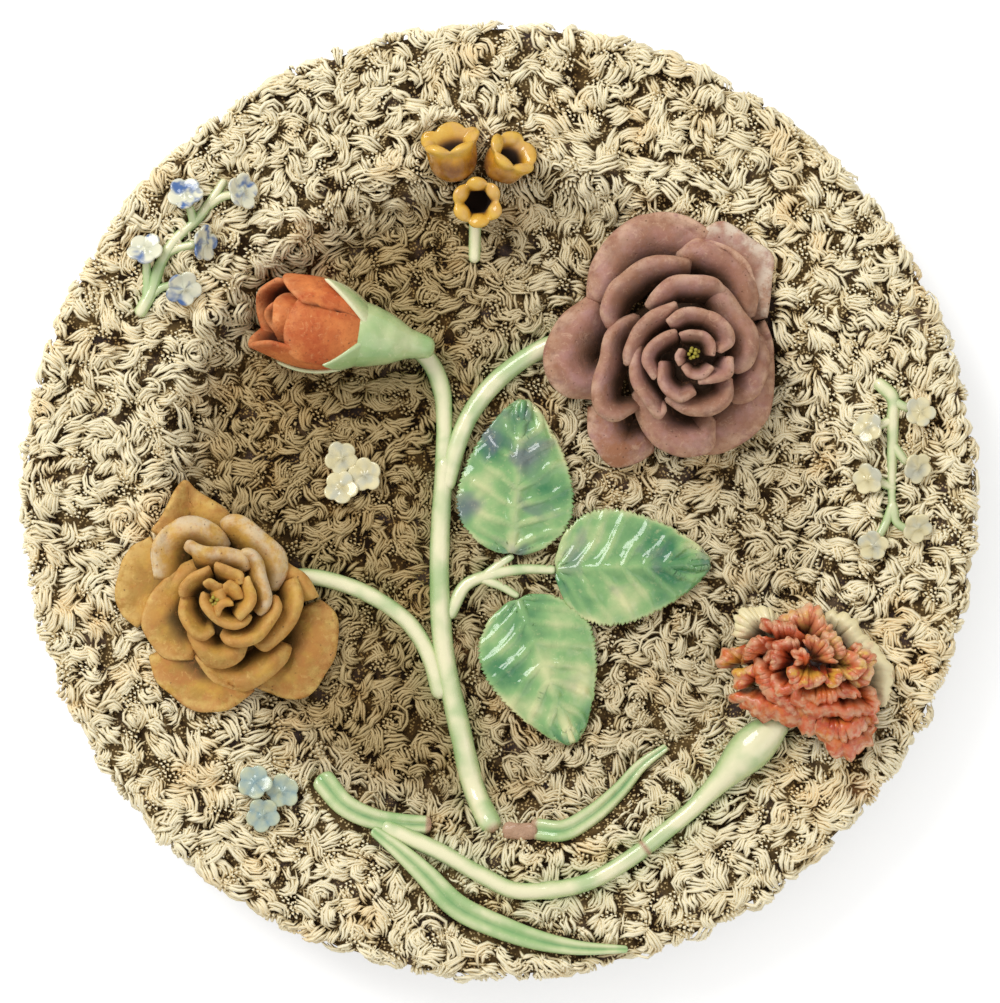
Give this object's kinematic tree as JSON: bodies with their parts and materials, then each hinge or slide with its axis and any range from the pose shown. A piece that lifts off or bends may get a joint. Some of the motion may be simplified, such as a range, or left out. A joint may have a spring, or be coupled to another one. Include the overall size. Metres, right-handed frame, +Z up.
{
  "type": "palissy ware plate",
  "caption": "Round earthenware wall plate with a foot ring, its face covered in clay moss with roses, a carnation, leaves and small blossoms in high relief.",
  "frame": {"origin": "centre of the foot ring's underside, which is the bottom centre of the whole", "axes": "+Z up out of the plate's face, +Y to the top of the picture on the plate, +X to its right"},
  "size_m": [0.4, 0.4, 0.0762],
  "materials": {
    "dish_glaze": "brown mottled lead glaze",
    "moss_clay": "pale buff sieved clay under a thin brown wash",
    "green_glaze": "pale green glossy glaze, thin and cream on the high places",
    "leaf_glaze": "glossy green glaze with cream veins and bluish purple patches",
    "mauve_clay": "matte dusty mauve",
    "ochre_clay": "matte ochre with a whitish bloom",
    "rust_clay": "matte orange red",
    "carnation_glaze": "satin rust red with yellow and a cream ruffle",
    "yellow_glaze": "glossy amber yellow",
    "blue_white_glaze": "glossy cream white touched with blue",
    "cream_glaze": "satin cream",
    "blue_glaze": "glossy pale blue with yellow eyes",
    "bare_clay": "rough bare clay of a break"
  },
  "bodies": {
    "root": {"dish": "dish_glaze", "moss_bed": "moss_clay", "stem_main": "green_glaze", "stem_mauve_rose": "green_glaze", "stem_rosebud": "green_glaze", "stem_ochre_rose": "green_glaze", "leaf_stalk": "green_glaze", "rose_mauve": "mauve_clay", "rose_ochre": "ochre_clay", "leaf_top": "leaf_glaze", "leaf_bottom": "leaf_glaze", "leaf_right": "leaf_glaze", "rosebud_calyx": "green_glaze", "rosebud_petals": "rust_clay", "carnation_stem": "green_glaze", "carnation_head": "carnation_glaze", "blade_short": "green_glaze", "blade_long": "green_glaze", "blade_right": "green_glaze", "break_scar": "bare_clay", "yellow_blossom_left": "yellow_glaze", "yellow_blossom_right": "yellow_glaze", "yellow_blossom_front": "yellow_glaze", "yellow_blossom_stem": "green_glaze", "sprig_left_stem": "green_glaze", "sprig_left_flower_1": "blue_white_glaze", "sprig_left_flower_2": "blue_white_glaze", "sprig_left_flower_3": "blue_white_glaze", "sprig_left_flower_4": "blue_white_glaze", "sprig_left_flower_5": "blue_white_glaze", "sprig_right_stem": "green_glaze", "sprig_right_flower_1": "cream_glaze", "sprig_right_flower_2": "cream_glaze", "sprig_right_flower_3": "cream_glaze", "sprig_right_flower_4": "cream_glaze", "sprig_right_flower_5": "cream_glaze", "sprig_right_flower_6": "cream_glaze", "white_flower_1": "cream_glaze", "white_flower_2": "cream_glaze", "white_flower_3": "cream_glaze", "blue_flower_1": "blue_glaze", "blue_flower_2": "blue_glaze", "blue_flower_3": "blue_glaze"}
  },
  "joints": []
}
